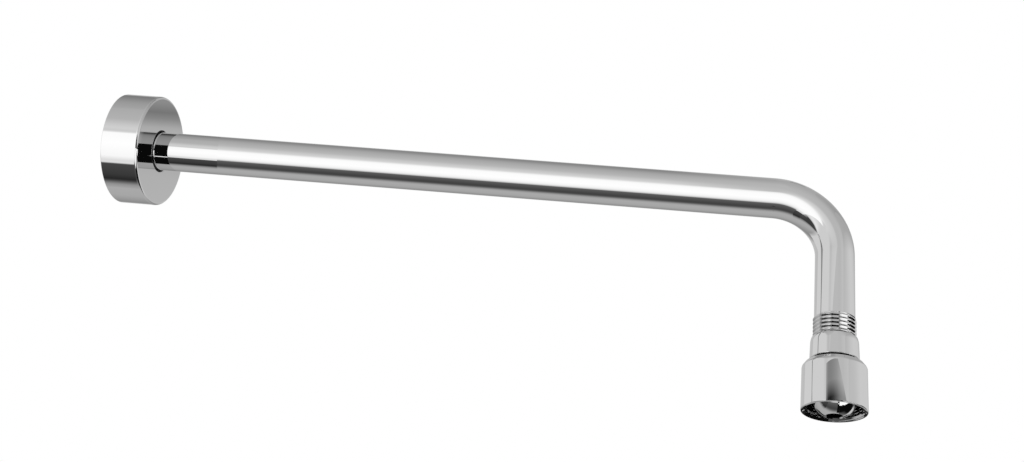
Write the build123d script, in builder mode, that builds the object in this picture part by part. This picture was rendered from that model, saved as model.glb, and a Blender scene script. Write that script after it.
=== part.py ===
"""Wall shower arm: a bent chromed tube with a sliding wall flange and a ball swivel nut at its outlet.

Frame, in millimetres: the wall is the plane X = 0, the arm runs out along +X on the axis Y = Z = 0,
and its leg hangs down along -Z.
"""

import math
import os

from build123d import *

os.makedirs("parts", exist_ok=True)

# Arm tube
reach = 386.0  # wall to the axis of the leg
tube_diameter = 21.0
bore_diameter = 16.6
bend_radius = 31.5  # centre line of the bend
bend_flattening = 0.75  # lost from the radius in the plane of the bend, by its lower end
bend_spread = 0.4  # gained by the radius across the plane of the bend, by its lower end
leg_neck_diameter = 19.8  # where the leg meets its thread
leg_bore_diameter = 15.4

# Threads, drawn as plain cylinders at their working diameter
pipe_thread_diameter = 20.955  # G 1/2 outside
thread_chamfer = 0.9
thread_relief_width = 2.0
thread_relief_wall = 0.98  # left round the bore
wall_thread_length = 14.0
wall_thread_behind_wall = 8.0  # length of thread that goes into the wall
exposed_leg_thread = 11.0  # length of thread that shows above the collar
thread_clearance = 0.03

# Collar that screws onto the leg
collar_diameter = 23.8  # at its foot
collar_waist_diameter = 23.2  # below the shoulder
collar_top_diameter = 22.0
collar_height = 11.5
collar_shoulder = 3.2  # height of the rounded upper shoulder
collar_top_below_arm = 76.3  # from the axis of the arm
collar_floor = 5.0
washer_thickness = 1.5
washer_bore = 11.0
collar_edge_round = 0.4

# Ball stud that screws into the collar
ball_diameter = 23.0
ball_below_collar = 17.2  # from the underside of the collar to the centre of the ball
stem_diameter = 13.5
stem_thread_diameter = 11.5
stem_seat_gap = 0.02
stud_bore = 7.5
stud_bore_chamfer = 0.5

# Ring that seals the stem in a counterbore of the collar
stem_ring_section = 1.5
stem_ring_squeeze_room = 0.2

# Seat ring between the ball and the nut
seat_clearance = 0.05
seat_ring_wall = 1.45
seat_ring_top = 8.0  # above the centre of the ball
seat_ring_bottom = 3.0

# Swivel nut
nut_diameter = 31.5  # at its mouth
nut_flare = 0.25  # gained by the radius from the shoulder to the mouth
nut_top_diameter = 27.4
nut_top_round = 0.8
nut_height = 24.2
nut_shoulder_height = 2.4
nut_shoulder_round = 2.0
nut_gap = 1.5  # between the nut and the underside of the collar
nut_neck_diameter = 19.0
nut_thread_bore = 26.4  # M 28 x 1.5 inside
nut_thread_length = 8.0
nut_mouth_chamfer = 0.8
nut_edge_round = 0.6

# Wall flange
flange_diameter = 60.0
flange_depth = 20.0
flange_wall = 2.0
flange_front = 2.6
flange_hole_gap = 1.0  # between the tube and the hole
flange_hole_chamfer = 0.5
flange_rim_round = 1.3
flange_boss_wall = 3.2  # outside the groove of the ring
flange_boss_land = 1.9  # in front of the groove and behind it
flange_inner_fillet = 1.5

# Ring in the flange that grips the tube
flange_ring_section = 2.4
flange_ring_room = 0.3
flange_ring_clearance = 0.03

# Levels and radii that follow from the sizes above
tube_radius = tube_diameter / 2
bore_radius = bore_diameter / 2
thread_radius = pipe_thread_diameter / 2
bend_start = reach - bend_radius
leg_thread_top = exposed_leg_thread - collar_top_below_arm
collar_bottom = -collar_top_below_arm - collar_height
washer_bottom = collar_bottom + collar_floor
leg_end = washer_bottom + washer_thickness
ball_radius = ball_diameter / 2
ball_centre = collar_bottom - ball_below_collar
stem_radius = stem_diameter / 2
stem_thread_radius = stem_thread_diameter / 2
seat_ring_inner = ball_radius + seat_clearance
seat_ring_outer = seat_ring_inner + seat_ring_wall
nut_seat_radius = seat_ring_outer + seat_clearance
nut_top = collar_bottom - nut_gap
nut_bottom = nut_top - nut_height
nut_thread_radius = nut_thread_bore / 2
flange_ring_radius = tube_radius + flange_ring_clearance + flange_ring_section / 2
flange_groove_radius = flange_ring_radius + flange_ring_section / 2 + flange_ring_clearance
flange_hole_radius = tube_radius + flange_hole_gap
flange_groove_width = flange_ring_section + flange_ring_room
flange_boss_depth = flange_groove_width + 2 * flange_boss_land
flange_ring_place = flange_depth - flange_boss_land - flange_groove_width / 2
stem_ring_outer = stem_thread_radius + thread_clearance + stem_ring_section
stem_ring_pocket = stem_ring_outer + thread_clearance
stem_ring_depth = stem_ring_section + stem_ring_squeeze_room

leg_axis = Axis((reach, 0, 0), (0, 0, 1))
arm_axis = Axis.X
bend_end = Plane((reach, 0, -bend_radius), x_dir=(0, 1, 0), z_dir=(0, 0, -1))
leg_plane = Plane((reach, 0, 0), x_dir=(1, 0, 0), z_dir=(0, -1, 0))


def arm_run(round_radius, neck_radius, wall_end):
    """Draw the bent run of the tube, from its wall end to the top of the leg's thread."""
    neck_level = -bend_radius - leg_thread_top
    with BuildPart() as run:
        with BuildSketch(Plane.YZ.offset(wall_end)):
            Circle(round_radius)
        extrude(amount=bend_start - wall_end)
        with BuildLine(Plane.XZ) as bend:
            JernArc((bend_start, 0), tangent=(1, 0), radius=bend_radius, arc_size=-90)
        with BuildSketch(Plane.YZ.offset(bend_start)):
            Circle(round_radius)
        with BuildSketch(bend_end):
            Ellipse(round_radius + bend_spread, round_radius - bend_flattening)
        sweep(path=bend.line, multisection=True)
        with BuildSketch(bend_end):
            Ellipse(round_radius + bend_spread, round_radius - bend_flattening)
        with BuildSketch(bend_end.offset(neck_level)):
            Circle(neck_radius)
        loft()
    return run.part


def on_sphere(radius, level):
    """Give the profile point of a sphere about the ball's centre, at a height above that centre."""
    return math.sqrt(radius**2 - level**2), ball_centre + level


def circles_of(builder, radius):
    """Choose the circular edges of one radius."""
    return builder.edges().filter_by(
        lambda edge: edge.geom_type == GeomType.CIRCLE and math.isclose(edge.radius, radius)
    )


# Arm tube, one bent piece with a male thread at each end
wall_end = -wall_thread_behind_wall
wall_thread_end = wall_end + wall_thread_length
relief_end = wall_thread_end + thread_relief_width
with BuildPart() as arm_tube:
    add(arm_run(tube_radius, leg_neck_diameter / 2, relief_end))
    with BuildSketch(Plane.XZ):
        with BuildLine():
            Polyline(
                (wall_end, 0),
                (wall_end, thread_radius - thread_chamfer),
                (wall_end + thread_chamfer, thread_radius),
                (wall_thread_end, thread_radius),
                (wall_thread_end, bore_radius + thread_relief_wall),
                (relief_end, bore_radius + thread_relief_wall),
                (relief_end, 0),
                close=True,
            )
        make_face()
    revolve(axis=arm_axis)
    with BuildSketch(leg_plane):
        with BuildLine():
            Polyline(
                (0, leg_thread_top),
                (thread_radius - thread_chamfer, leg_thread_top),
                (thread_radius, leg_thread_top - thread_chamfer),
                (thread_radius, leg_end + thread_chamfer),
                (thread_radius - thread_chamfer, leg_end),
                (0, leg_end),
                close=True,
            )
        make_face()
    revolve(axis=leg_axis)
    add(arm_run(bore_radius, leg_bore_diameter / 2, wall_end), mode=Mode.SUBTRACT)
    with BuildSketch(Plane((reach, 0, leg_end))):
        Circle(leg_bore_diameter / 2)
    extrude(amount=leg_thread_top - leg_end, mode=Mode.SUBTRACT)
arm_tube.part.label = "arm_tube"
export_step(arm_tube.part, "parts/arm_tube.step")

# Wall flange, a cup with a boss round the tube that holds the gripping ring
flange_radius = flange_diameter / 2
flange_inside = flange_radius - flange_wall
flange_boss_radius = flange_groove_radius + flange_boss_wall
flange_back_of_front = flange_depth - flange_front
flange_back_of_boss = flange_depth - flange_boss_depth
with BuildPart() as wall_flange:
    with BuildSketch(Plane.XZ):
        with BuildLine():
            Polyline(
                (0, flange_radius),
                (flange_depth, flange_radius),
                (flange_depth, flange_hole_radius + flange_hole_chamfer),
                (flange_depth - flange_hole_chamfer, flange_hole_radius),
                (flange_back_of_boss, flange_hole_radius),
                (flange_back_of_boss, flange_boss_radius),
                (flange_back_of_front, flange_boss_radius),
                (flange_back_of_front, flange_inside),
                (0, flange_inside),
                close=True,
            )
        make_face()
        with Locations((flange_ring_place, flange_groove_radius)):
            Rectangle(
                flange_groove_width,
                flange_groove_radius - flange_hole_radius,
                align=(Align.CENTER, Align.MAX),
                mode=Mode.SUBTRACT,
            )
    revolve(axis=arm_axis)
    fillet(circles_of(wall_flange, flange_inside).sort_by(Axis.X)[-1], flange_inner_fillet)
    fillet(circles_of(wall_flange, flange_radius).sort_by(Axis.X)[-1], flange_rim_round)
wall_flange.part.label = "wall_flange"
export_step(wall_flange.part, "parts/wall_flange.step")

# Gripping ring of the flange
with BuildPart() as flange_ring:
    with BuildSketch(Plane.XZ):
        with Locations((flange_ring_place, flange_ring_radius)):
            Circle(flange_ring_section / 2)
    revolve(axis=arm_axis)
flange_ring.part.label = "flange_ring"
export_step(flange_ring.part, "parts/flange_ring.step")

# Collar, a turned sleeve with a rounded shoulder, a threaded bore and a floor for the stud
collar_radius = collar_diameter / 2
collar_waist = collar_waist_diameter / 2
collar_top = -collar_top_below_arm
collar_thread_bore = thread_radius + thread_clearance
with BuildPart() as swivel_collar:
    with BuildSketch(leg_plane):
        with BuildLine():
            shoulder_foot = (collar_waist, collar_top - collar_shoulder)
            side_slope = (collar_waist - collar_radius, collar_height - collar_shoulder)
            top_edge = (collar_top_diameter / 2, collar_top)
            Polyline(
                top_edge,
                (collar_thread_bore, collar_top),
                (collar_thread_bore, washer_bottom),
                (stem_thread_radius + thread_clearance, washer_bottom),
                (stem_thread_radius + thread_clearance, collar_bottom + stem_ring_depth),
                (stem_ring_pocket, collar_bottom + stem_ring_depth),
                (stem_ring_pocket, collar_bottom),
                (collar_radius - collar_edge_round, collar_bottom),
                (collar_radius, collar_bottom + collar_edge_round),
                shoulder_foot,
            )
            TangentArc(shoulder_foot, top_edge, tangent=side_slope)
        make_face()
    revolve(axis=leg_axis)
swivel_collar.part.label = "swivel_collar"
export_step(swivel_collar.part, "parts/swivel_collar.step")

# Flat washer between the end of the tube and the floor of the collar
with BuildPart() as collar_washer:
    with BuildSketch(Plane((reach, 0, washer_bottom))):
        Circle(collar_thread_bore - thread_clearance)
        Circle(washer_bore / 2, mode=Mode.SUBTRACT)
    extrude(amount=washer_thickness)
collar_washer.part.label = "collar_washer"
export_step(collar_washer.part, "parts/collar_washer.step")

# Ball stud, one turned piece with a threaded spigot, a stem and a drilled ball
spigot_top = washer_bottom
stem_top = collar_bottom - stem_seat_gap
stem_level = math.sqrt(ball_radius**2 - stem_radius**2)
mouth_level = -math.sqrt(ball_radius**2 - (stud_bore / 2) ** 2)
with BuildPart() as ball_stud:
    with BuildSketch(leg_plane):
        with BuildLine():
            waist = on_sphere(ball_radius, stem_level)
            mouth = on_sphere(ball_radius, mouth_level)
            Polyline(
                mouth,
                (stud_bore / 2, spigot_top),
                (stem_thread_radius, spigot_top),
                (stem_thread_radius, stem_top),
                (stem_radius, stem_top),
                waist,
            )
            ThreePointArc(waist, on_sphere(ball_radius, 0), mouth)
        make_face()
    revolve(axis=leg_axis)
    mouth_edge = ball_stud.edges().filter_by(GeomType.CIRCLE).sort_by(Axis.Z)[0]
    chamfer(mouth_edge, stud_bore_chamfer)
ball_stud.part.label = "ball_stud"
export_step(ball_stud.part, "parts/ball_stud.step")

# Sealing ring round the spigot of the stud
stem_ring_centre = stem_thread_radius + thread_clearance + stem_ring_section / 2
with BuildPart() as stud_ring:
    with BuildSketch(leg_plane):
        with Locations((stem_ring_centre, collar_bottom + stem_ring_depth / 2)):
            Circle(stem_ring_section / 2)
    revolve(axis=leg_axis)
stud_ring.part.label = "stud_ring"
export_step(stud_ring.part, "parts/stud_ring.step")

# Seat ring, a band of a hollow sphere on the shoulder of the ball
seat_ring_levels = (seat_ring_bottom, (seat_ring_bottom + seat_ring_top) / 2, seat_ring_top)
with BuildPart() as seat_ring:
    with BuildSketch(leg_plane):
        with BuildLine():
            outside = [on_sphere(seat_ring_outer, level) for level in seat_ring_levels]
            inside = [on_sphere(seat_ring_inner, level) for level in reversed(seat_ring_levels)]
            ThreePointArc(*outside)
            Line(outside[-1], inside[0])
            ThreePointArc(*inside)
            Line(inside[-1], outside[0])
        make_face()
    revolve(axis=leg_axis)
seat_ring.part.label = "seat_ring"
export_step(seat_ring.part, "parts/seat_ring.step")

# Swivel nut, turned with a bevelled shoulder, a spherical seat and an inside thread
nut_radius = nut_diameter / 2
nut_shoulder_radius = nut_radius - nut_flare
nut_top_radius = nut_top_diameter / 2
nut_neck_radius = nut_neck_diameter / 2
neck_level = math.sqrt(nut_seat_radius**2 - nut_neck_radius**2)
thread_top = nut_bottom + nut_thread_length
seat_level = thread_top - ball_centre
with BuildPart() as swivel_nut:
    with BuildSketch(leg_plane):
        with BuildLine():
            seat_foot = on_sphere(nut_seat_radius, seat_level)
            seat_middle = on_sphere(nut_seat_radius, (seat_level + neck_level) / 2)
            neck_foot = on_sphere(nut_seat_radius, neck_level)
            ThreePointArc(seat_foot, seat_middle, neck_foot)
            Polyline(
                neck_foot,
                (nut_neck_radius, nut_top),
                (nut_top_radius, nut_top),
                (nut_shoulder_radius, nut_top - nut_shoulder_height),
                (nut_radius, nut_bottom),
                (nut_thread_radius + nut_mouth_chamfer, nut_bottom),
                (nut_thread_radius, nut_bottom + nut_mouth_chamfer),
                (nut_thread_radius, thread_top),
                seat_foot,
            )
        make_face()
    revolve(axis=leg_axis)
    fillet(circles_of(swivel_nut, nut_shoulder_radius), nut_shoulder_round)
    fillet(circles_of(swivel_nut, nut_top_radius), nut_top_round)
    fillet(circles_of(swivel_nut, nut_radius), nut_edge_round)
swivel_nut.part.label = "swivel_nut"
export_step(swivel_nut.part, "parts/swivel_nut.step")
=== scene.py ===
"""Dress a wall shower arm: its bent chromed tube, its drum flange and its ball swivel.

Metres throughout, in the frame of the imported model: the wall is the plane X = 0, the arm runs out along +X
on the axis Y = Z = 0, and its leg hangs down along -Z.
"""

import logging
import math
from dataclasses import dataclass
from enum import Enum
from typing import Mapping, Optional, Sequence, Union

import bmesh
import bpy
from mathutils import Euler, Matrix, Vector


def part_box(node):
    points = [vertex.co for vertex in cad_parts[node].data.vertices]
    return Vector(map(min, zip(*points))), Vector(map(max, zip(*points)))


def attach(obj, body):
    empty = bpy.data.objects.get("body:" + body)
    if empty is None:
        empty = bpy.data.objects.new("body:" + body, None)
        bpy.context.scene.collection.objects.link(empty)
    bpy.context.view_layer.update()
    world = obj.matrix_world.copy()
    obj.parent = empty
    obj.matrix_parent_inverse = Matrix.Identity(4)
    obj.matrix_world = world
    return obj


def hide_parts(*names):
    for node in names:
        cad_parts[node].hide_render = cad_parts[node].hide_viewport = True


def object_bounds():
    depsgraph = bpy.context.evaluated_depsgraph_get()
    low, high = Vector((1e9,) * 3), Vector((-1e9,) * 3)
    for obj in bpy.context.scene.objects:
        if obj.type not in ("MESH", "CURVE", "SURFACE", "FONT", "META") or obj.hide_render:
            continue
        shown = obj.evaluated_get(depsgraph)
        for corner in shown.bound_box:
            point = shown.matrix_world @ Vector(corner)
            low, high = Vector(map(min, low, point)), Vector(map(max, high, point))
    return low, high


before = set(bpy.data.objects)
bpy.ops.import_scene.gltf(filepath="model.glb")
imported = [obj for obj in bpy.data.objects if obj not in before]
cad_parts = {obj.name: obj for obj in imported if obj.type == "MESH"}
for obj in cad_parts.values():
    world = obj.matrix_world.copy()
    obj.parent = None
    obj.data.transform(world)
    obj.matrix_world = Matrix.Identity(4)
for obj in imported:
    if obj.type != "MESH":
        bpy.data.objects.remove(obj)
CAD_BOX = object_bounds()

logger = logging.getLogger("shower_arm")

MM = 0.001
SQUARE = (0, 1, 2, 3)
# Sockets of a Mix node that is set to colours
MIX_FIRST, MIX_SECOND, MIX_RESULT = 6, 7, 2
# Greys of dark cloth and of the tent's wall end
DARK = 0.04
WALL_GREY = 0.8
# Ends of the dark flag along the arm
FLAG_START, FLAG_END = 0.74, 1.0

Colour = tuple[float, float, float]
Range = tuple[float, float]
Value = Union["Signal", float]
Setting = Union[str, bool, float, Sequence[Range]]
Input = Union["Signal", float, Colour, Vector]
Tone = Union["Signal", Colour]


class Body(str, Enum):
    """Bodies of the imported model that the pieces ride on."""

    ARM = "arm"
    FLANGE = "flange"
    NUT = "nut"


class Slot(str, Enum):
    """Material slots of the record."""

    CHROME = "polished_chrome"
    RUBBER = "black_rubber"
    NYLON = "black_nylon"


class Along(int, Enum):
    """Axis of the frame, as the number of its socket."""

    X = 0
    Y = 1
    Z = 2


class Side(float, Enum):
    """Way that a thread is cut, as the sign of its depth away from the axis."""

    OUTSIDE = -1.0
    INSIDE = 1.0


def linear_grey(level: float) -> float:
    """Turn a display grey into the light that shows as that grey.

    Args:
        level: Display grey from 0 to 1.

    Returns:
        Linear light from 0 to 1.
    """
    toe, toe_slope, offset, power = 0.04045, 12.92, 0.055, 2.4
    if level <= toe:
        return level / toe_slope
    return ((level + offset) / (1 + offset)) ** power


class Signal:
    """An output socket that takes part in Python arithmetic."""

    def __init__(self, graph: "Graph", socket: bpy.types.NodeSocket) -> None:
        """Wrap one output socket of a graph."""
        self.graph = graph
        self.socket = socket

    def math(self, operation: str, *values: Value) -> "Signal":
        """Add a Math node with these values in order."""
        return self.graph.node("ShaderNodeMath", {"operation": operation}, dict(enumerate(values)))

    def __add__(self, other: Value) -> "Signal":
        """Add a value."""
        return self.math("ADD", self, other)

    __radd__ = __add__

    def __sub__(self, other: Value) -> "Signal":
        """Take a value away."""
        return self.math("SUBTRACT", self, other)

    def __rsub__(self, other: Value) -> "Signal":
        """Take this from a value."""
        return self.math("SUBTRACT", other, self)

    def __mul__(self, other: Value) -> "Signal":
        """Multiply by a value."""
        return self.math("MULTIPLY", self, other)

    __rmul__ = __mul__

    def __truediv__(self, other: Value) -> "Signal":
        """Divide by a value."""
        return self.math("DIVIDE", self, other)

    def __rtruediv__(self, other: Value) -> "Signal":
        """Divide a value by this."""
        return self.math("DIVIDE", other, self)

    def __gt__(self, other: Value) -> "Signal":
        """Give 1 where this is greater, and 0 elsewhere."""
        return self.math("GREATER_THAN", self, other)

    def __lt__(self, other: Value) -> "Signal":
        """Give 1 where this is less, and 0 elsewhere."""
        return self.math("LESS_THAN", self, other)

    def clamped(self) -> "Signal":
        """Keep the value between 0 and 1."""
        return self.graph.node("ShaderNodeClamp", {}, {0: self})


class Graph:
    """A node tree that is written node by node."""

    def __init__(self, tree: bpy.types.NodeTree) -> None:
        """Start with an empty tree."""
        tree.nodes.clear()
        self.tree = tree

    def node(
        self,
        kind: str,
        settings: Optional[Mapping[str, Setting]] = None,
        inputs: Optional[Mapping[Union[int, str], Input]] = None,
        output: Union[int, str] = 0,
    ) -> Signal:
        """Add one node, with its settings first and its inputs after.

        Args:
            kind: Blender's type of the node.
            settings: Properties of the node, with "stops" for a ramp.
            inputs: Values or links by socket name or number.
            output: Name or number of the socket that is handed back.

        Returns:
            The chosen output.
        """
        node = self.tree.nodes.new(kind)
        for name, setting in (settings or {}).items():
            if name == "stops":
                self.set_stops(node.color_ramp, setting)
            else:
                setattr(node, name, setting)
        for key, value in (inputs or {}).items():
            if isinstance(value, Signal):
                self.tree.links.new(value.socket, node.inputs[key])
            else:
                node.inputs[key].default_value = value
        outlets = node.outputs
        return Signal(self, outlets[output] if len(outlets) else node.inputs[0])

    @staticmethod
    def set_stops(ramp: bpy.types.ColorRamp, stops: Sequence[Range]) -> None:
        """Give a ramp its stops.

        Args:
            ramp: Ramp of a new node, with its two first elements.
            stops: Place from 0 to 1 and linear grey of each stop, from left to right.
        """
        while len(ramp.elements) < len(stops):
            ramp.elements.new(1.0)
        for element, (place, light) in zip(ramp.elements, stops):
            element.position = place
            element.color = (light, light, light, 1.0)

    def blend(self, share: Value, first: Tone, second: Tone) -> Signal:
        """Mix two colours by a share of the second."""
        tones = [tone if isinstance(tone, Signal) else (*tone, 1.0) for tone in (first, second)]
        inputs = {0: share, MIX_FIRST: tones[0], MIX_SECOND: tones[1]}
        return self.node("ShaderNodeMix", {"data_type": "RGBA"}, inputs, output=MIX_RESULT)

    def noise(self, place: Signal, scale: float, detail: float = 2.0) -> Signal:
        """Add soft noise at a scale per metre."""
        inputs = {"Vector": place, "Scale": scale, "Detail": detail}
        return self.node("ShaderNodeTexNoise", {}, inputs)

    def object_place(self) -> Signal:
        """Give the place on the object, in metres."""
        return self.node("ShaderNodeTexCoord", output="Object")

    def relief(self, height: Signal, depth: float) -> Signal:
        """Turn a height from 0 to 1 into a bumped normal."""
        return self.node("ShaderNodeBump", {}, {"Height": height, "Distance": depth, "Strength": 1.0})


@dataclass(frozen=True)
class Finish:
    """A surface finish that makes its own material."""

    name: str

    def shade(self, graph: Graph) -> Signal:
        """Build the nodes of the finish."""
        raise NotImplementedError

    def material(self) -> bpy.types.Material:
        """Make the material.

        Returns:
            A new material with the nodes of the finish.
        """
        material = bpy.data.materials.new(self.name)
        material.use_nodes = True
        graph = Graph(material.node_tree)
        graph.node("ShaderNodeOutputMaterial", {}, {"Surface": self.shade(graph)})
        return material


@dataclass(frozen=True)
class PolishedChrome(Finish):
    """Bright chrome plate, with a faint haze from wiping, a slight wave, and painted shade that darkens the
    colour in deep recesses.
    """

    clean: Colour = (0.885, 0.885, 0.885)
    hazed: Colour = (0.85, 0.85, 0.85)
    # Colour of the painted shade in deep recesses
    painted_shade: Colour = (0.1, 0.1, 0.1)
    recess_reach: float = 12 * MM
    recess_gain: float = 1.9
    recess_floor: float = 0.22
    recess_rays: int = 8
    polish: float = 0.005
    haze: float = 0.011
    haze_scale: float = 38.0
    haze_detail: float = 4.0
    haze_share: float = 0.7
    grain_scale: float = 900.0
    grain_detail: float = 3.0
    wave_scale: float = 55.0
    wave_depth: float = 0.004 * MM

    def shade(self, graph: Graph) -> Signal:
        """Build chrome whose haze varies over the surface, with painted shade in deep recesses.

        Args:
            graph: Tree to write in.

        Returns:
            The shader.
        """
        place = graph.object_place()
        cloud = graph.noise(place, self.haze_scale, self.haze_detail)
        grain = graph.noise(place, self.grain_scale, self.grain_detail)
        wiped = cloud * self.haze_share + grain * (1 - self.haze_share)
        # Painted shade: ambient occlusion darkens the base colour in deep recesses, such as inside the nut,
        # the bores and the flange's cup
        settings = {"only_local": True, "samples": self.recess_rays}
        reach = {"Distance": self.recess_reach}
        openness = graph.node("ShaderNodeAmbientOcclusion", settings, reach, output="AO")
        recess_shade = ((1.0 - openness - self.recess_floor) * self.recess_gain).clamped()
        plate = graph.blend(wiped, self.clean, self.hazed)
        inputs = {
            "Base Color": graph.blend(recess_shade, plate, self.painted_shade),
            "Metallic": 1.0,
            "Roughness": wiped * self.haze + self.polish,
            "Normal": graph.relief(graph.noise(place, self.wave_scale), self.wave_depth),
        }
        return graph.node("ShaderNodeBsdfPrincipled", {}, inputs)


@dataclass(frozen=True)
class MouldedRubber(Finish):
    """Black rubber with a dusty bloom and a fine moulded skin."""

    fresh: Colour = (0.012, 0.012, 0.013)
    bloom: Colour = (0.035, 0.035, 0.036)
    bloom_scale: float = 420.0
    bloom_detail: float = 4.0
    gloss: float = 0.45
    dullness: float = 0.25
    skin_scale: float = 2600.0
    skin_depth: float = 0.02 * MM

    def shade(self, graph: Graph) -> Signal:
        """Build rubber with bloom in patches.

        Args:
            graph: Tree to write in.

        Returns:
            The shader.
        """
        place = graph.object_place()
        patches = graph.noise(place, self.bloom_scale, self.bloom_detail)
        inputs = {
            "Base Color": graph.blend(patches, self.fresh, self.bloom),
            "Roughness": patches * self.dullness + self.gloss,
            "Normal": graph.relief(graph.noise(place, self.skin_scale), self.skin_depth),
        }
        return graph.node("ShaderNodeBsdfPrincipled", {}, inputs)


@dataclass(frozen=True)
class TurnedNylon(Finish):
    """Black nylon with fine tool lines round its axis."""

    deep: Colour = (0.018, 0.018, 0.019)
    worn: Colour = (0.034, 0.034, 0.034)
    cloud_scale: float = 260.0
    cloud_detail: float = 3.0
    gloss: float = 0.35
    dullness: float = 0.12
    line_scale: float = 700.0
    line_depth: float = 0.01 * MM

    def shade(self, graph: Graph) -> Signal:
        """Build nylon with tool lines.

        Args:
            graph: Tree to write in.

        Returns:
            The shader.
        """
        place = graph.object_place()
        cloud = graph.noise(place, self.cloud_scale, self.cloud_detail)
        settings = {"wave_type": "BANDS", "bands_direction": "Z"}
        spacing = {"Vector": place, "Scale": self.line_scale}
        lines = graph.node("ShaderNodeTexWave", settings, spacing, output=1)
        inputs = {
            "Base Color": graph.blend(cloud, self.deep, self.worn),
            "Roughness": lines * self.dullness + self.gloss,
            "Normal": graph.relief(lines, self.line_depth),
        }
        return graph.node("ShaderNodeBsdfPrincipled", {}, inputs)


@dataclass(frozen=True)
class PaleFloor(Finish):
    """Matt pale studio floor with a faint mottle, which fades into a white room."""

    light: Colour = (0.86, 0.86, 0.86)
    shade_of_mottle: Colour = (0.83, 0.83, 0.83)
    mottle_scale: float = 3.0
    mottle_detail: float = 3.0
    roughness: float = 0.9
    fade_start: float = 1.0
    fade_length: float = 4.0

    def shade(self, graph: Graph) -> Signal:
        """Build matt paint that turns into white light far away.

        Args:
            graph: Tree to write in.

        Returns:
            The shader.
        """
        place = graph.object_place()
        mottle = graph.noise(place, self.mottle_scale, self.mottle_detail)
        tone = graph.blend(mottle, self.light, self.shade_of_mottle)
        inputs = {"Base Color": tone, "Roughness": self.roughness}
        paint = graph.node("ShaderNodeBsdfPrincipled", {}, inputs)
        white = graph.node("ShaderNodeEmission", {}, {"Strength": 1.0})
        reach = graph.node("ShaderNodeVectorMath", {"operation": "LENGTH"}, {0: place}, output="Value")
        fade = ((reach - self.fade_start) / self.fade_length).clamped()
        return graph.node("ShaderNodeMixShader", {}, {0: fade, 1: paint, 2: white})


@dataclass(frozen=True)
class Band:
    """Grey of the tent at an angle about the arm, in degrees: 0 in front, 90 overhead, 180 behind."""

    angle: float
    grey: float


Bands = tuple[Band, ...]


def banded(*pairs: Range) -> Bands:
    """Make bands of pairs of an angle and a grey, in order."""
    return tuple(Band(angle, grey) for angle, grey in pairs)


def even(grey: float) -> Bands:
    """Give bands of one grey all round."""
    return banded((-180, grey), (180, grey))


@dataclass(frozen=True)
class Zone:
    """A patch of the tent with its own bands, over their angles and between two places along an axis."""

    axis: Along
    bands: Bands
    start: Optional[float] = None
    end: Optional[float] = None
    softness: float = 0.002


@dataclass(frozen=True)
class Glow(Finish):
    """A lit or unlit cloth that shows chosen greys in bright metal."""

    mirror: float = 0.87

    def light(self, grey: float) -> float:
        """Give the light that bright metal shows as a grey."""
        return linear_grey(grey) / self.mirror

    def tone(self, graph: Graph, places: Sequence[Signal]) -> Signal:
        """Give the light at a place on the cloth."""
        raise NotImplementedError

    def shade(self, graph: Graph) -> Signal:
        """Build a glow that changes over the cloth.

        Args:
            graph: Tree to write in.

        Returns:
            The shader.
        """
        outlets = graph.node("ShaderNodeSeparateXYZ", {}, {0: graph.object_place()}).socket.node.outputs
        tone = self.tone(graph, [Signal(graph, outlet) for outlet in outlets])
        return graph.node("ShaderNodeEmission", {}, {"Color": tone, "Strength": 1.0})


@dataclass(frozen=True)
class TentLight(Glow):
    """Lit cloth of the tent, with bands that run along the arm and zones that differ from them."""

    bands: Bands = ()
    zones: tuple[Zone, ...] = ()

    def ramp(self, graph: Graph, angle: Signal, bands: Sequence[Band]) -> Signal:
        """Add a ramp over the angle about the arm.

        Args:
            graph: Tree to write in.
            angle: Angle about the arm, in degrees.
            bands: Bands in order.

        Returns:
            The light of the bands.
        """
        first, span = bands[0].angle, bands[-1].angle - bands[0].angle
        stops = [((band.angle - first) / span, self.light(band.grey)) for band in bands]
        return graph.node("ShaderNodeValToRGB", {"stops": stops}, {0: (angle - first) / span})

    def tone(self, graph: Graph, places: Sequence[Signal]) -> Signal:
        """Lay the zones over the bands.

        Args:
            graph: Tree to write in.
            places: Place on the cloth along each axis.

        Returns:
            The light.
        """
        front, height = 0.0 - places[Along.Y], places[Along.Z]
        angle = height.math("ARCTAN2", height, front) * math.degrees(1.0)
        tone = self.ramp(graph, angle, self.bands)
        for zone in self.zones:
            place = places[zone.axis]
            share = (angle > zone.bands[0].angle) * (angle < zone.bands[-1].angle)
            if zone.start is not None:
                share = share * ((place - zone.start) / zone.softness).clamped()
            if zone.end is not None:
                share = share * ((zone.end - place) / zone.softness).clamped()
            tone = graph.blend(share, tone, self.ramp(graph, angle, zone.bands))
        return tone


@dataclass(frozen=True)
class GradedFlag(Glow):
    """Dark cloth that lightens upwards and towards its sides."""

    left: float = 0.3638
    width: float = 0.0402
    foot: float = -0.1035
    height: float = 0.009
    foot_greys: tuple[float, ...] = (0.5, 0.16, 0.12, 0.22, 0.36, 0.48, 0.54, 0.55, 0.57)
    top_greys: tuple[float, ...] = (0.6, 0.5, 0.5, 0.53, 0.57, 0.63, 0.69, 0.72, 0.74)

    def row(self, graph: Graph, share: Signal, greys: Sequence[float]) -> Signal:
        """Add a ramp of even stretches across the cloth."""
        stops = [(step / (len(greys) - 1), self.light(grey)) for step, grey in enumerate(greys)]
        return graph.node("ShaderNodeValToRGB", {"stops": stops}, {0: share})

    def tone(self, graph: Graph, places: Sequence[Signal]) -> Signal:
        """Blend the rows at the foot and at the top.

        Args:
            graph: Tree to write in.
            places: Place on the cloth along each axis.

        Returns:
            The light.
        """
        share = (places[Along.X] - self.left) / self.width
        height = (places[Along.Z] - self.foot) / self.height
        rows = [self.row(graph, share, greys) for greys in (self.foot_greys, self.top_greys)]
        return graph.blend(height.clamped(), *rows)


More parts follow.
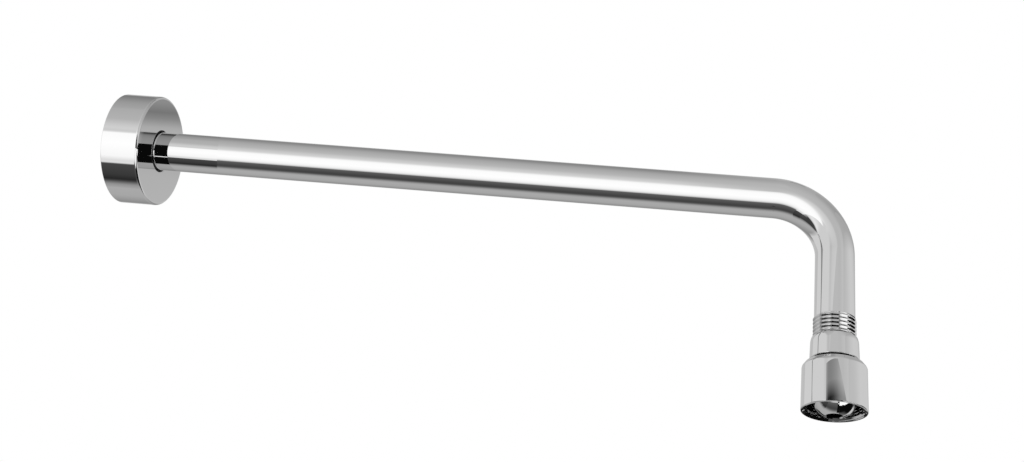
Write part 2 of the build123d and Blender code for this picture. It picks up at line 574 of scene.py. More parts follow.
@dataclass(frozen=True)
class Card:
    """A small upright cloth by the outlet, with its left and right ends given below and above."""

    cloth: Glow
    depth: float
    foot: float
    foot_ends: Range
    top: float
    top_ends: Range

    def points(self) -> list[Vector]:
        """Give the corners, from the lower left one round."""
        lower = [Vector((end, self.depth, self.foot)) for end in self.foot_ends]
        return lower + [Vector((end, self.depth, self.top)) for end in reversed(self.top_ends)]


@dataclass(frozen=True)
class Spindle:
    """A line that rings of points are laid round."""

    origin: Vector
    along: Vector
    across: Vector
    up: Vector

    def point(self, level: float, reach_across: float, reach_up: float) -> Vector:
        """Give the point at a level along the line and two reaches from it."""
        return self.origin + self.along * level + self.across * reach_across + self.up * reach_up


@dataclass(frozen=True)
class Thread:
    """A helical thread with narrow flats at its crests and roots, cut into a plain round surface."""

    crest: float
    pitch: float
    depth: float
    start: float
    end: float
    side: Side
    run_out: float = 0.0
    crest_share: float = 0.1
    root_share: float = 0.1
    rows_a_turn: int = 20

    def radius(self, plain: float, level: float, angle: float) -> float:
        """Give the cut surface's radius.

        Args:
            plain: Radius of the uncut surface at this level.
            level: Level along the axis.
            angle: Angle about the axis, in radians.

        Returns:
            Radius after the cut.
        """
        turn = (level / self.pitch - angle / math.tau) % 1.0
        descent = 1.0 - abs(2.0 * turn - 1.0)
        groove = (descent - self.crest_share) / (1.0 - self.crest_share - self.root_share)
        groove = min(max(groove, 0.0), 1.0)
        room = min(level - self.start, self.end - level)
        fade = 1.0 if room >= self.run_out else max(room, 0.0) / self.run_out
        cut = self.crest + self.side.value * self.depth * groove * fade
        return min(plain, cut) if self.side is Side.OUTSIDE else max(plain, cut)


@dataclass(frozen=True)
class Loop:
    """One closed ring of points of a skin, round or oval, and cut by a thread where it has one."""

    spindle: Spindle
    level: float
    half_across: float
    half_up: float
    thread: Optional[Thread] = None

    def points(self, count: int) -> list[Vector]:
        """Lay the points of the ring.

        Args:
            count: Number of points.

        Returns:
            The points in order.
        """
        ring = []
        for step in range(count):
            angle = math.tau * step / count
            across, up = self.half_across, self.half_up
            if self.thread:
                across = up = self.thread.radius(across, self.level, angle)
            ring.append(self.spindle.point(self.level, across * math.cos(angle), up * math.sin(angle)))
        return ring


@dataclass(frozen=True)
class Corner:
    """A corner of a turned outline. A thread on it cuts the line from here to the next corner."""

    radius: float
    level: float
    rounding: float = 0.0
    thread: Optional[Thread] = None


@dataclass(frozen=True)
class Outline:
    """The outline of a turned stretch, from corner to corner."""

    corners: tuple[Corner, ...]
    closed: bool = True
    round_steps: int = 6
    flat_margin: float = 0.12 * MM
    short_line: float = 0.48 * MM

    def round_off(self, before: Corner, corner: Corner, after: Corner) -> list[Corner]:
        """Replace a corner by an arc that touches both of its lines.

        Args:
            before: Corner at the other end of the line that comes in.
            corner: Corner to round.
            after: Corner at the other end of the line that goes out.

        Returns:
            Corners along the arc.
        """
        tip = Vector((corner.radius, corner.level))
        back = (Vector((before.radius, before.level)) - tip).normalized()
        ahead = (Vector((after.radius, after.level)) - tip).normalized()
        half = back.angle(ahead) / 2
        centre = tip + (back + ahead).normalized() * (corner.rounding / math.sin(half))
        reach = corner.rounding / math.tan(half)
        first = tip + back * reach - centre
        last = tip + ahead * reach - centre
        start = math.atan2(first.y, first.x)
        sweep = math.remainder(math.atan2(last.y, last.x) - start, math.tau)
        arc = turned_arc(centre.x, centre.y, corner.rounding, start, start + sweep, self.round_steps)
        return [*arc[:-1], Corner(arc[-1].radius, arc[-1].level, thread=corner.thread)]

    def fill(self, here: Corner, there: Corner) -> list[Corner]:
        """Give the rows between two corners.

        Args:
            here: Start of the line.
            there: End of the line.

        Returns:
            Close rows along a thread, or a row near each end of a plain line so that it stays flat.
        """
        length = math.hypot(there.radius - here.radius, there.level - here.level)
        if here.thread:
            count = math.ceil(length / here.thread.pitch * here.thread.rows_a_turn)
            shares = [step / count for step in range(1, count)]
        elif length > self.short_line:
            shares = [self.flat_margin / length, 1 - self.flat_margin / length]
        else:
            shares = []
        rise, climb = there.radius - here.radius, there.level - here.level
        return [
            Corner(here.radius + rise * share, here.level + climb * share, thread=here.thread)
            for share in shares
        ]

    def loops(self, spindle: Spindle) -> list[Loop]:
        """Turn the outline about a line.

        Args:
            spindle: Line to turn about.

        Returns:
            Rings in the outline's order.
        """
        soft: list[Corner] = []
        for index, corner in enumerate(self.corners):
            if corner.rounding:
                after = self.corners[(index + 1) % len(self.corners)]
                soft.extend(self.round_off(self.corners[index - 1], corner, after))
            else:
                soft.append(corner)
        rows: list[Corner] = []
        for here, there in zip(soft, soft[1:]):
            rows.extend([here, *self.fill(here, there)])
        rows.append(soft[-1])
        if self.closed:
            rows.extend(self.fill(soft[-1], soft[0]))
        return [Loop(spindle, row.level, row.radius, row.radius, row.thread) for row in rows]


def turned_arc(
    centre_radius: float, centre_level: float, radius: float, start: float, end: float, steps: int
) -> list[Corner]:
    """Draw an arc of a turned outline.

    Args:
        centre_radius: Radius of the arc's centre from the axis.
        centre_level: Level of the arc's centre.
        radius: Radius of the arc.
        start: First angle, in radians, 0 away from the axis and a quarter turn along it.
        end: Last angle.
        steps: Number of stretches.

    Returns:
        Corners along the arc, both ends included.
    """
    angles = [start + (end - start) * step / steps for step in range(steps + 1)]
    return [
        Corner(centre_radius + radius * math.cos(angle), centre_level + radius * math.sin(angle))
        for angle in angles
    ]


@dataclass(frozen=True)
class Envelope:
    """Room that a turned CAD node takes: its radius and its two ends along its axis."""

    radius: float
    low: float
    high: float
    middle: Vector

    @classmethod
    def along_arm(cls, node: str) -> "Envelope":
        """Read a node that is turned about the arm."""
        low, high = (Vector(corner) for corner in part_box(node))
        return cls((high.z - low.z) / 2, low.x, high.x, (low + high) / 2)

    @classmethod
    def along_leg(cls, node: str) -> "Envelope":
        """Read a node that is turned about the leg."""
        low, high = (Vector(corner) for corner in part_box(node))
        return cls((high.y - low.y) / 2, low.z, high.z, (low + high) / 2)


ARM_LINE = Spindle(Vector(), Vector((1, 0, 0)), Vector((0, 1, 0)), Vector((0, 0, 1)))


def leg_line() -> Spindle:
    """Give the line of the leg, through the middle of the collar."""
    reach = Envelope.along_leg("swivel_collar").middle.x
    return Spindle(Vector((reach, 0, 0)), Vector((0, 0, 1)), Vector((0, 1, 0)), Vector((1, 0, 0)))


def strip(here: int, there: int, count: int) -> list[tuple[int, int, int, int]]:
    """Give the faces between two rings, by the numbers of their first points.

    Args:
        here: First point of the one ring.
        there: First point of the other.
        count: Points in each ring.

    Returns:
        Faces in order round the rings.
    """
    pairs = [(step, (step + 1) % count) for step in range(count)]
    return [(here + step, here + ahead, there + ahead, there + step) for step, ahead in pairs]


def skin(name: str, loops: Sequence[Loop], count: int, crease: float = 32.0) -> bpy.types.Object:
    """Join rings into one closed mesh, the last ring to the first.

    Args:
        name: Name of the piece.
        loops: Rings in order.
        count: Points in each ring.
        crease: Angle in degrees from which an edge is sharp.

    Returns:
        The new object, in the scene.
    """
    points = [point for loop in loops for point in loop.points(count)]
    faces = []
    for row in range(len(loops)):
        faces += strip(row * count, (row + 1) % len(loops) * count, count)
    mesh = bpy.data.meshes.new(name)
    mesh.from_pydata(points, [], faces)
    shell = bmesh.new()
    shell.from_mesh(mesh)
    bmesh.ops.recalc_face_normals(shell, faces=shell.faces)
    shell.to_mesh(mesh)
    shell.free()
    mesh.shade_smooth()
    mesh.set_sharp_from_angle(angle=math.radians(crease))
    piece = bpy.data.objects.new(name, mesh)
    bpy.context.scene.collection.objects.link(piece)
    return piece


def dress(
    piece: bpy.types.Object, node: str, body: Body, material: bpy.types.Material
) -> bpy.types.Object:
    """Give a piece its finish and its place on the model.

    Args:
        piece: Piece to dress.
        node: CAD node that it stands for.
        body: Body that it rides on.
        material: Finish.

    Returns:
        The same piece.
    """
    piece.data.materials.append(material)
    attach(piece, body.value)
    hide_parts(node)
    return piece


@dataclass
class BentTube:
    """The arm itself: a drawn tube with an oval bend and a pipe thread at each end."""

    chrome: bpy.types.Material
    node: str = "arm_tube"
    radius: float = 10.5 * MM
    bore: float = 8.3 * MM
    leg_neck: float = 9.9 * MM
    leg_bore: float = 7.7 * MM
    bend_radius: float = 31.5 * MM
    bend_flattening: float = 0.75 * MM
    bend_spread: float = 0.4 * MM
    thread_radius: float = 10.4775 * MM
    wall_thread_pitch: float = 1.814 * MM
    leg_thread_pitch: float = 2.0 * MM
    thread_depth: float = 0.72 * MM
    thread_chamfer: float = 0.9 * MM
    thread_run_out: float = 1.2 * MM
    wall_thread_length: float = 14.0 * MM
    relief_width: float = 2.0 * MM
    relief_wall: float = 0.98 * MM
    exposed_leg_thread: float = 11.0 * MM
    bend_steps: int = 56
    leg_steps: int = 14
    points_round: int = 128

    def __post_init__(self) -> None:
        """Read the ends of the tube from the frame."""
        low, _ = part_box(self.node)
        self.wall_end = low[0]
        self.leg_end = low[2]
        self.leg = leg_line()
        self.reach = self.leg.origin.x
        self.bend_start = self.reach - self.bend_radius
        self.leg_round = Envelope.along_leg("swivel_collar").high + self.exposed_leg_thread

    def ease(self, share: float) -> float:
        """Ease a share in and out."""
        return share * share * (3 - 2 * share)

    def wall_stretch(self) -> list[Loop]:
        """Turn the threaded wall end and the straight run as far as the bend.

        Returns:
            Rings from the bore's edge at the wall end along the outside.
        """
        end = self.wall_end
        thread_end = end + self.wall_thread_length
        relief_end = thread_end + self.relief_width
        relief = self.bore + self.relief_wall
        thread = Thread(
            self.thread_radius, self.wall_thread_pitch, self.thread_depth, end - self.wall_thread_pitch,
            thread_end, Side.OUTSIDE, self.relief_width / 2,
        )
        corners = (
            Corner(self.bore, end),
            Corner(self.thread_radius - self.thread_chamfer, end, thread=thread),
            Corner(self.thread_radius, end + self.thread_chamfer, thread=thread),
            Corner(self.thread_radius, thread_end),
            Corner(relief, thread_end),
            Corner(relief, relief_end),
            Corner(self.radius, relief_end),
            Corner(self.radius, self.bend_start),
        )
        return Outline(corners, closed=False).loops(ARM_LINE)

    def bent_stretch(self, straight: float, neck: float) -> list[Loop]:
        """Draw the bend, which turns oval along its way, and the leg as far as its round neck.

        Args:
            straight: Round radius on the arm.
            neck: Round radius at the neck of the leg.

        Returns:
            Rings from just past the straight run to the neck.
        """
        in_plane, across = straight - self.bend_flattening, straight + self.bend_spread
        centre = Vector((self.bend_start, 0, -self.bend_radius))
        loops = []
        for step in range(1, self.bend_steps + 1):
            share = step / self.bend_steps
            oval = self.ease(share)
            angle = math.pi / 2 * share
            outward = Vector((math.sin(angle), 0, math.cos(angle)))
            forward = Vector((math.cos(angle), 0, -math.sin(angle)))
            spindle = Spindle(centre + outward * self.bend_radius, forward, ARM_LINE.across, outward)
            half_up = straight + (in_plane - straight) * oval
            loops.append(Loop(spindle, 0.0, straight + (across - straight) * oval, half_up))
        bend_end = -self.bend_radius
        for step in range(1, self.leg_steps + 1):
            share = step / self.leg_steps
            level = bend_end + (self.leg_round - bend_end) * share
            half_across = across + (neck - across) * share
            loops.append(Loop(self.leg, level, half_across, in_plane + (neck - in_plane) * share))
        return loops

    def leg_stretch(self) -> list[Loop]:
        """Turn the threaded end of the leg.

        Returns:
            Rings from the neck to the bore's edge at the leg's end.
        """
        end, top = self.leg_end, self.leg_round
        thread = Thread(
            self.thread_radius, self.leg_thread_pitch, self.thread_depth, end - self.leg_thread_pitch, top,
            Side.OUTSIDE, self.thread_run_out,
        )
        step_out = self.thread_radius - self.leg_neck
        corners = (
            Corner(self.leg_neck, top, thread=thread),
            Corner(self.leg_neck, top - self.thread_chamfer + step_out, thread=thread),
            Corner(self.thread_radius, top - self.thread_chamfer, thread=thread),
            Corner(self.thread_radius, end + self.thread_chamfer, thread=thread),
            Corner(self.thread_radius - self.thread_chamfer, end),
            Corner(self.leg_bore, end),
            Corner(self.leg_bore, top),
        )
        return Outline(corners, closed=False).loops(self.leg)

    def build(self) -> bpy.types.Object:
        """Skin the outside, both ends and the bore as one closed piece.

        Returns:
            The dressed tube.
        """
        inside = [
            Loop(ARM_LINE, self.bend_start, self.bore, self.bore),
            *self.bent_stretch(self.bore, self.leg_bore),
        ]
        outside = [*self.wall_stretch(), *self.bent_stretch(self.radius, self.leg_neck)]
        loops = [*outside[:-1], *self.leg_stretch(), *reversed(inside[:-1])]
        piece = skin("bent_tube", loops, self.points_round)
        return dress(piece, self.node, Body.ARM, self.chrome)


@dataclass
class DrumFlange:
    """The wall flange: a drum-shaped cup with a boss that holds the gripping ring."""

    chrome: bpy.types.Material
    node: str = "wall_flange"
    wall: float = 2.0 * MM
    front: float = 2.6 * MM
    hole: float = 11.5 * MM
    hole_rounding: float = 0.5 * MM
    rim_rounding: float = 1.3 * MM
    foot_rounding: float = 0.25 * MM
    inner_rounding: float = 1.5 * MM
    groove_radius: float = 12.96 * MM
    groove_width: float = 2.7 * MM
    groove_land: float = 1.9 * MM
    boss_wall: float = 3.2 * MM
    points_round: int = 192

    def build(self) -> bpy.types.Object:
        """Turn the flange about the arm.

        Returns:
            The dressed flange.
        """
        room = Envelope.along_arm(self.node)
        face, foot, outside = room.high, room.low, room.radius
        boss = self.groove_radius + self.boss_wall
        groove_front = face - self.groove_land
        groove_back = groove_front - self.groove_width
        boss_back = groove_back - self.groove_land
        inside = outside - self.wall
        corners = (
            Corner(outside, foot, self.foot_rounding),
            Corner(outside, face, self.rim_rounding),
            Corner(self.hole, face, self.hole_rounding),
            Corner(self.hole, groove_front),
            Corner(self.groove_radius, groove_front),
            Corner(self.groove_radius, groove_back),
            Corner(self.hole, groove_back),
            Corner(self.hole, boss_back, self.foot_rounding),
            Corner(boss, boss_back, self.foot_rounding),
            Corner(boss, face - self.front),
            Corner(inside, face - self.front, self.inner_rounding),
            Corner(inside, foot, self.foot_rounding),
        )
        piece = skin("drum_flange", Outline(corners).loops(ARM_LINE), self.points_round)
        return dress(piece, self.node, Body.FLANGE, self.chrome)


@dataclass
class BallSwivel:
    """The outlet: a collar on the leg's thread, a drilled ball below it and a nut that hangs on the ball."""

    chrome: bpy.types.Material
    collar_node: str = "swivel_collar"
    ball_node: str = "ball_stud"
    nut_node: str = "swivel_nut"
    collar_bore: float = 10.5075 * MM
    collar_waist: float = 11.6 * MM
    collar_top_radius: float = 11.0 * MM
    collar_shoulder: float = 3.2 * MM
    collar_top_rounding: float = 0.25 * MM
    collar_edge_rounding: float = 0.4 * MM
    collar_floor: float = 5.0 * MM
    ring_pocket_radius: float = 7.31 * MM
    ring_pocket_depth: float = 1.7 * MM
    ball_radius: float = 11.5 * MM
    stem_radius: float = 6.75 * MM
    spigot_radius: float = 5.75 * MM
    stem_gap: float = 0.02 * MM
    stud_bore: float = 3.75 * MM
    stud_bore_edge: float = 0.45 * MM
    nut_flare: float = 0.25 * MM
    nut_top_radius: float = 13.7 * MM
    nut_shoulder_height: float = 2.4 * MM
    nut_shoulder_rounding: float = 2.0 * MM
    nut_top_rounding: float = 0.8 * MM
    nut_edge_rounding: float = 0.4 * MM
    nut_neck: float = 9.5 * MM
    nut_neck_rounding: float = 0.4 * MM
    nut_seat_radius: float = 13.05 * MM
    nut_thread_bore: float = 13.2 * MM
    nut_thread_length: float = 8.0 * MM
    nut_thread_pitch: float = 1.5 * MM
    nut_thread_depth: float = 1.3 * MM
    nut_mouth_chamfer: float = 1.6 * MM
    shoulder_steps: int = 12
    sphere_steps: int = 40
    points_round: int = 160

    def __post_init__(self) -> None:
        """Read the levels of the swivel from the frame."""
        self.line = leg_line()
        self.collar = Envelope.along_leg(self.collar_node)
        self.nut = Envelope.along_leg(self.nut_node)
        ball_foot = Envelope.along_leg(self.ball_node).low
        mouth = self.stud_bore + self.stud_bore_edge
        self.ball_centre = ball_foot + math.sqrt(self.ball_radius**2 - mouth**2)

    def sphere(self, radius: float, start: float, end: float) -> list[Corner]:
        """Draw a stretch of a sphere about the ball's centre.

        Args:
            radius: Radius of the sphere.
            start: First height above the centre.
            end: Last height above the centre.

        Returns:
            Corners along the sphere.
        """
        first, last = math.asin(start / radius), math.asin(end / radius)
        return turned_arc(0.0, self.ball_centre, radius, first, last, self.sphere_steps)

    def build_collar(self) -> bpy.types.Object:
        """Turn the collar with its rounded shoulder.

        Returns:
            The dressed collar.
        """
        outside, top, bottom = self.collar.radius, self.collar.high, self.collar.low
        inset = self.collar_waist - self.collar_top_radius
        arc_radius = (inset**2 + self.collar_shoulder**2) / (2 * inset)
        arc_end = math.asin(self.collar_shoulder / arc_radius)
        arc_level = top - self.collar_shoulder
        arc_middle = self.collar_waist - arc_radius
        shoulder = turned_arc(arc_middle, arc_level, arc_radius, 0.0, arc_end, self.shoulder_steps)
        floor = bottom + self.collar_floor
        pocket_top = bottom + self.ring_pocket_depth
        corners = (
            *shoulder[:-1],
            Corner(self.collar_top_radius, top, self.collar_top_rounding),
            Corner(self.collar_bore, top),
            Corner(self.collar_bore, floor),
            Corner(self.spigot_radius + self.stem_gap, floor),
            Corner(self.spigot_radius + self.stem_gap, pocket_top),
            Corner(self.ring_pocket_radius, pocket_top),
            Corner(self.ring_pocket_radius, bottom),
            Corner(outside, bottom, self.collar_edge_rounding),
        )
        piece = skin("leg_collar", Outline(corners).loops(self.line), self.points_round)
        return dress(piece, self.collar_node, Body.ARM, self.chrome)

    def build_ball(self) -> bpy.types.Object:
        """Turn the stud: spigot, stem and drilled ball.

        Returns:
            The dressed stud.
        """
        waist = math.sqrt(self.ball_radius**2 - self.stem_radius**2)
        mouth = self.stud_bore + self.stud_bore_edge
        foot = -math.sqrt(self.ball_radius**2 - mouth**2)
        spigot_top = self.collar.low + self.collar_floor
        stem_top = self.collar.low - self.stem_gap
        corners = (
            Corner(self.stud_bore, self.ball_centre + foot + self.stud_bore_edge),
            Corner(self.stud_bore, spigot_top),
            Corner(self.spigot_radius, spigot_top),
            Corner(self.spigot_radius, stem_top),
            Corner(self.stem_radius, stem_top),
            *self.sphere(self.ball_radius, waist, foot),
        )
        piece = skin("drilled_ball", Outline(corners).loops(self.line), self.points_round)
        return dress(piece, self.ball_node, Body.ARM, self.chrome)

    def build_nut(self) -> bpy.types.Object:
        """Turn the nut: bevelled shoulder, spherical seat and inside thread.

        Returns:
            The dressed nut.
        """
        outside, top, bottom = self.nut.radius, self.nut.high, self.nut.low
        thread_top = bottom + self.nut_thread_length
        neck = math.sqrt(self.nut_seat_radius**2 - self.nut_neck**2)
        seat = self.sphere(self.nut_seat_radius, thread_top - self.ball_centre, neck)
        thread = Thread(
            self.nut_thread_bore, self.nut_thread_pitch, self.nut_thread_depth,
            bottom - self.nut_thread_pitch, thread_top, Side.INSIDE, self.nut_thread_pitch / 2,
        )
        corners = (
            *seat,
            Corner(self.nut_neck, top, self.nut_neck_rounding),
            Corner(self.nut_top_radius, top, self.nut_top_rounding),
            Corner(outside - self.nut_flare, top - self.nut_shoulder_height, self.nut_shoulder_rounding),
            Corner(outside, bottom, self.nut_edge_rounding),
            Corner(self.nut_thread_bore + self.nut_mouth_chamfer, bottom, thread=thread),
            Corner(self.nut_thread_bore, bottom + self.nut_mouth_chamfer, thread=thread),
            Corner(self.nut_thread_bore, thread_top),
        )
        piece = skin("ball_nut", Outline(corners).loops(self.line), self.points_round)
        return dress(piece, self.nut_node, Body.NUT, self.chrome)

    def build(self) -> list[bpy.types.Object]:
        """Build the collar, the ball and the nut."""
        return [self.build_collar(), self.build_ball(), self.build_nut()]


@dataclass
class Seals:
    """The rubber rings, the washer and the nylon seat, which keep their CAD shapes."""

    rubber: bpy.types.Material
    nylon: bpy.types.Material
    rubber_nodes: tuple[str, ...] = ("flange_ring", "collar_washer", "stud_ring")
    nylon_nodes: tuple[str, ...] = ("seat_ring",)

    def dress(self) -> list[bpy.types.Object]:
        """Give each node its finish.

        Returns:
            The dressed nodes.
        """
        pairs = [(name, self.rubber) for name in self.rubber_nodes]
        pairs += [(name, self.nylon) for name in self.nylon_nodes]
        dressed = []
        for name, material in pairs:
            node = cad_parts[name]
            node.data.materials.clear()
            node.data.materials.append(material)
            dressed.append(node)
        return dressed


@dataclass
class LightTent:
    """Soft studio light: a long tent of lit cloth round the arm, small cloths near it and a pale floor."""

    centre: Vector
    radius: float = 2.0
    half_length: float = 1.7
    segments: int = 96
    screen_radius: float = 0.25
    screen_ends: Range = (0.4, 0.485)
    screen_steps: int = 24
    floor_level: float = -0.8
    floor_half_width: float = 12.0
    fill_height: float = 1.6
    fill_width: float = 2.5
    fill_power: float = 12.0
    ambient: Colour = (0.9, 0.9, 0.9)
    white: Colour = (1.0, 1.0, 1.0)
    cloth_bands: Bands = banded(
        (-180, 0.53), (-164, 0.59), (-145, 0.65), (-118, 0.665), (-108, 0.6), (-101, 0.45), (-94, 0.29),
        (-87, 0.25), (-73, 0.305), (-59.5, 0.36), (-56, 0.76), (-49, 0.93), (-42, 0.97), (-30, 1.0),
        (-6, 0.99), (1, 0.965), (7, 0.87), (13, 0.815), (22, 0.785), (36, 0.715), (55, 0.675), (70, 0.645),
        (90, 0.57), (104, 0.52), (120, 0.52), (128, 0.7), (165, 0.74), (174, 0.6), (180, 0.53),
    )
    drum_bands: Bands = banded(
        (-120, 0.645), (-111, 0.57), (-105, 0.41), (-101, 0.26), (-97, 0.15), (-86, 0.22), (-64, 0.265),
        (-62.3, 0.3), (-60, 0.88), (-55, 0.86), (-46, 0.97), (-20, 1.0), (2, 0.985), (4.5, 0.85), (7, 0.79),
        (13, 0.815), (20, 0.785), (34, 0.695), (61, 0.667), (67, 0.635), (83, 0.6), (104, 0.515),
        (122, 0.45), (130, 0.7), (165, 0.74), (174, 0.56), (180, 0.53),
    )
    near_side_bands: Bands = banded((7, 0.74), (14, 0.715), (55, 0.705), (75, 0.66))
    far_side_bands: Bands = banded((7, 0.73), (28, 0.745), (50, 0.69), (75, 0.63), (100, 0.59), (165, 0.59))
    back_foot_bands: Bands = banded((-180, 0.775), (-153, 0.765), (-147, DARK), (-108, DARK))
    face_bands: Bands = banded(
        (145, 0.58), (147.1, 0.54), (147.75, 0.46), (148.2, 0.53), (148.8, 0.66), (149.6, 0.71),
        (151, 0.66), (152.2, 0.685), (155, 0.7),
    )
    hood_bands: Bands = banded(
        (9, 0.59), (30, 0.58), (48, 0.56), (70, 0.52), (82, 0.44), (92, 0.28), (110, 0.2)
    )
    slit_bands: Bands = banded((-64, DARK), (-63.5, 1.0), (-60, 1.0), (-59.5, DARK))
    corner_bands: Bands = banded(
        (-140, 0.55), (-120, 0.38), (-109, DARK), (-72, DARK), (-71, 1.0), (-27, 1.0), (-26, DARK), (3, DARK)
    )
    cloth_zones: tuple[Zone, ...] = (
        # Wall side, which the flange's drum and the inside of the bend mirror
        Zone(Along.X, drum_bands, end=-0.75),
        Zone(Along.X, banded((9, WALL_GREY), (75, WALL_GREY)), end=-1.05, softness=0.45),
        # Room side, which the outside of the bend and the leg mirror
        Zone(Along.X, near_side_bands, start=0.3, end=1.8969, softness=0.3),
        Zone(Along.X, banded((75, 0.66), (92, 0.64), (128, 0.7)), start=0.3, softness=0.3),
        Zone(Along.X, far_side_bands, start=0.7, softness=1.2),
        Zone(Along.X, banded((130, 0.6), (142, 0.66), (160, 0.775), (180, 0.775)), start=0.9, softness=1.0),
        # Back, which the flange's face mirrors
        Zone(Along.X, face_bands, start=FLAG_START),
        # Dark flag in front, with a hood above it and a bright slit low down
        Zone(Along.X, hood_bands, start=FLAG_START, end=FLAG_END, softness=0.02),
        Zone(Along.X, banded((-112, DARK), (9, DARK)), start=FLAG_START, end=FLAG_END),
        Zone(Along.X, slit_bands, start=0.8, end=0.96, softness=0.02),
        # Corners by the room end: a bright panel in front, and dark low at the back
        Zone(Along.X, corner_bands, start=FLAG_END),
        Zone(Along.X, back_foot_bands, start=0.9, softness=1.0),
    )
    wall_end_bands: Bands = banded(
        (-180, 0.53), (-145, 0.65), (-118, 0.665), (-104, 0.5), (-96, 0.22), (-62, 0.3), (-56, 0.8),
        (-30, 0.9), (0, 0.8),
    )
    wedge_bands: Bands = banded((-96, 0.22), (-51, 0.24), (-44, 0.83), (-40, 0.84))
    wall_end_zones: tuple[Zone, ...] = (
        Zone(Along.Z, wall_end_bands, end=-0.02, softness=0.3),
        Zone(Along.Z, wedge_bands, start=-1.75, end=-0.02, softness=0.55),
    )
    room_end_bands: Bands = banded(
        (-180, 0.775), (0, 0.73), (30, 0.73), (55, 0.765), (90, 0.785), (180, 0.775)
    )
    panel_bands: Bands = banded((-150, DARK), (-75, DARK), (-73, 1.0), (-27, 1.0), (-26, DARK), (3, DARK))
    room_end_zones: tuple[Zone, ...] = (
        Zone(Along.Z, banded((15, 0.68), (90, 0.65), (165, 0.65)), start=0.7, softness=0.6),
        Zone(Along.Z, panel_bands),
    )
    screen_bands: Bands = banded((-10, 0.72), (6, 0.715), (40, 0.705), (75, 0.66), (105, 0.64))
    cards: tuple[Card, ...] = (
        Card(
            GradedFlag("near_flag"), depth=-0.035, foot=-0.1087, foot_ends=(0.3638, 0.404), top=-0.084,
            top_ends=(0.3638, 0.3855),
        ),
        Card(
            TentLight("low_flag", bands=even(0.03)), depth=-0.035, foot=-0.13, foot_ends=(0.3638, 0.3928),
            top=-0.1087, top_ends=(0.3638, 0.3928),
        ),
        Card(
            TentLight("leg_card", bands=even(0.72)), depth=-0.035, foot=-0.08, foot_ends=(0.3645, 0.389),
            top=-0.02, top_ends=(0.385, 0.389),
        ),
        Card(
            TentLight("back_flag", bands=even(0.12)), depth=0.03, foot=-0.126, foot_ends=(0.365, 0.41),
            top=-0.1165, top_ends=(0.365, 0.41),
        ),
    )

    def stage_mesh(
        self, points: Sequence[Vector], faces: Sequence[Sequence[int]], finish: Finish
    ) -> bpy.types.Object:
        """Add a stage object with the name of its finish.

        Args:
            points: Its points.
            faces: Its faces.
            finish: Its finish.

        Returns:
            The new object.
        """
        mesh = bpy.data.meshes.new(finish.name)
        mesh.from_pydata(points, [], faces)
        mesh.materials.append(finish.material())
        card = bpy.data.objects.new(finish.name, mesh)
        bpy.context.scene.collection.objects.link(card)
        return card

    def hang(self, points: Sequence[Vector], faces: Sequence[Sequence[int]], cloth: Glow) -> None:
        """Hang a cloth that is out of the picture and shows only in bright metal.

        Args:
            points: Its points.
            faces: Its faces.
            cloth: Its finish.
        """
        card = self.stage_mesh(points, faces, cloth)
        card.visible_camera = False
        card.visible_shadow = False
        card.visible_diffuse = False

    def build_tent(self) -> None:
        """Hang the cloth round the arm and close its two ends."""
        count = self.segments
        places = (self.centre.x - self.half_length, self.centre.x + self.half_length)
        rings = [Loop(ARM_LINE, place, self.radius, self.radius).points(count) for place in places]
        cloth = TentLight("tent_cloth", bands=self.cloth_bands, zones=self.cloth_zones)
        self.hang(rings[0] + rings[1], strip(0, count, count), cloth)
        ends = (
            TentLight("tent_end_wall", bands=even(WALL_GREY), zones=self.wall_end_zones),
            TentLight("tent_end_room", bands=self.room_end_bands, zones=self.room_end_zones),
        )
        for cloth, ring in zip(ends, rings):
            self.hang(ring, [range(count)], cloth)

    def build_cards(self) -> None:
        """Hang the small cloths by the outlet."""
        for card in self.cards:
            self.hang(card.points(), [SQUARE], card.cloth)

    def build_screen(self) -> None:
        """Hang a pale curved screen by the bend, which keeps the dark hood out of it."""
        first, last = (math.radians(self.screen_bands[index].angle) for index in (0, -1))
        points, faces = [], []
        for step in range(self.screen_steps + 1):
            angle = first + (last - first) * step / self.screen_steps
            front, height = self.screen_radius * math.cos(angle), self.screen_radius * math.sin(angle)
            points += [Vector((end, -front, height)) for end in self.screen_ends]
        for low in range(0, 2 * self.screen_steps, 2):
            faces.append((low, low + 1, low + 3, low + 2))
        self.hang(points, faces, TentLight("bend_screen", bands=self.screen_bands))

    def build_floor(self) -> None:
        """Lay the pale floor, which the metal doesn't mirror."""
        half = self.floor_half_width
        ends = ((-half, -half), (half, -half), (half, half), (-half, half))
        points = [Vector((self.centre.x + x, y, self.floor_level)) for x, y in ends]
        floor = self.stage_mesh(points, [SQUARE], PaleFloor("pale_floor"))
        floor.visible_glossy = False

    def build_fill(self) -> None:
        """Hang a soft lamp overhead for the floor and the matt pieces."""
        light = bpy.data.lights.new("overhead_fill", "AREA")
        light.shape = "SQUARE"
        light.size = self.fill_width
        light.energy = self.fill_power
        lamp = bpy.data.objects.new("overhead_fill", light)
        lamp.location = (self.centre.x, 0.0, self.fill_height)
        lamp.visible_glossy = False
        lamp.visible_camera = False
        bpy.context.scene.collection.objects.link(lamp)

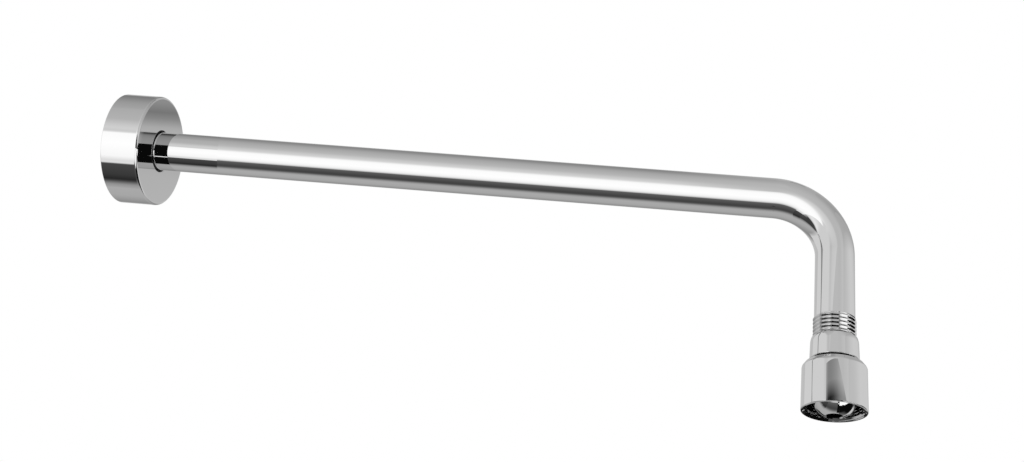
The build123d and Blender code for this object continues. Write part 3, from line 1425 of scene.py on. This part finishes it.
    def build_world(self) -> None:
        """Make the background white for the camera and in reflections, and a plain grey as light."""
        world = bpy.data.worlds.new("studio")
        world.use_nodes = True
        graph = Graph(world.node_tree)
        rays = graph.node("ShaderNodeLightPath", output="Is Camera Ray")
        outlets = rays.socket.node.outputs
        mirrored, passed = (Signal(graph, outlets[f"Is {kind} Ray"]) for kind in ("Glossy", "Transmission"))
        tone = graph.blend(rays + mirrored + passed, self.ambient, self.white)
        glow = graph.node("ShaderNodeBackground", {}, {"Color": tone, "Strength": 1.0})
        graph.node("ShaderNodeOutputWorld", {}, {"Surface": glow})
        bpy.context.scene.world = world

    def build(self) -> None:
        """Set up the whole studio."""
        self.build_tent()
        self.build_cards()
        self.build_screen()
        self.build_floor()
        self.build_fill()
        self.build_world()
        bpy.context.scene.view_settings.view_transform = "Standard"


@dataclass(frozen=True)
class Viewpoint:
    """The camera: below the arm and in front of it, looking up."""

    place: tuple[float, float, float] = (0.29689, -0.52436, -0.29782)
    turn: tuple[float, float, float] = (116.9456, -6.9803, 3.4206)
    lens: float = 39.9097
    sensor: float = 36.0
    shift_across: float = -0.02274
    shift_up: float = 0.00221
    nearest: float = 0.01

    def build(self) -> None:
        """Place the camera and make it the scene's own."""
        data = bpy.data.cameras.new("viewpoint")
        data.lens = self.lens
        data.sensor_width = self.sensor
        data.shift_x = self.shift_across
        data.shift_y = self.shift_up
        data.clip_start = self.nearest
        camera = bpy.data.objects.new("viewpoint", data)
        camera.location = self.place
        camera.rotation_euler = Euler([math.radians(angle) for angle in self.turn], "XYZ")
        bpy.context.scene.collection.objects.link(camera)
        bpy.context.scene.camera = camera


def main() -> None:
    """Build the arm piece by piece, then the studio and the camera."""
    logging.basicConfig(level=logging.INFO, format="%(name)s: %(message)s")
    chrome = PolishedChrome(Slot.CHROME.value).material()
    rubber, nylon = MouldedRubber(Slot.RUBBER.value).material(), TurnedNylon(Slot.NYLON.value).material()
    pieces = [BentTube(chrome).build(), DrumFlange(chrome).build(), *BallSwivel(chrome).build()]
    pieces += Seals(rubber, nylon).dress()
    for piece in pieces:
        logger.info("%s: %d faces", piece.name, len(piece.data.polygons))
    middle = (Vector(CAD_BOX[0]) + Vector(CAD_BOX[1])) / 2
    LightTent(middle).build()
    Viewpoint().build()


if __name__ == "__main__":
    main()
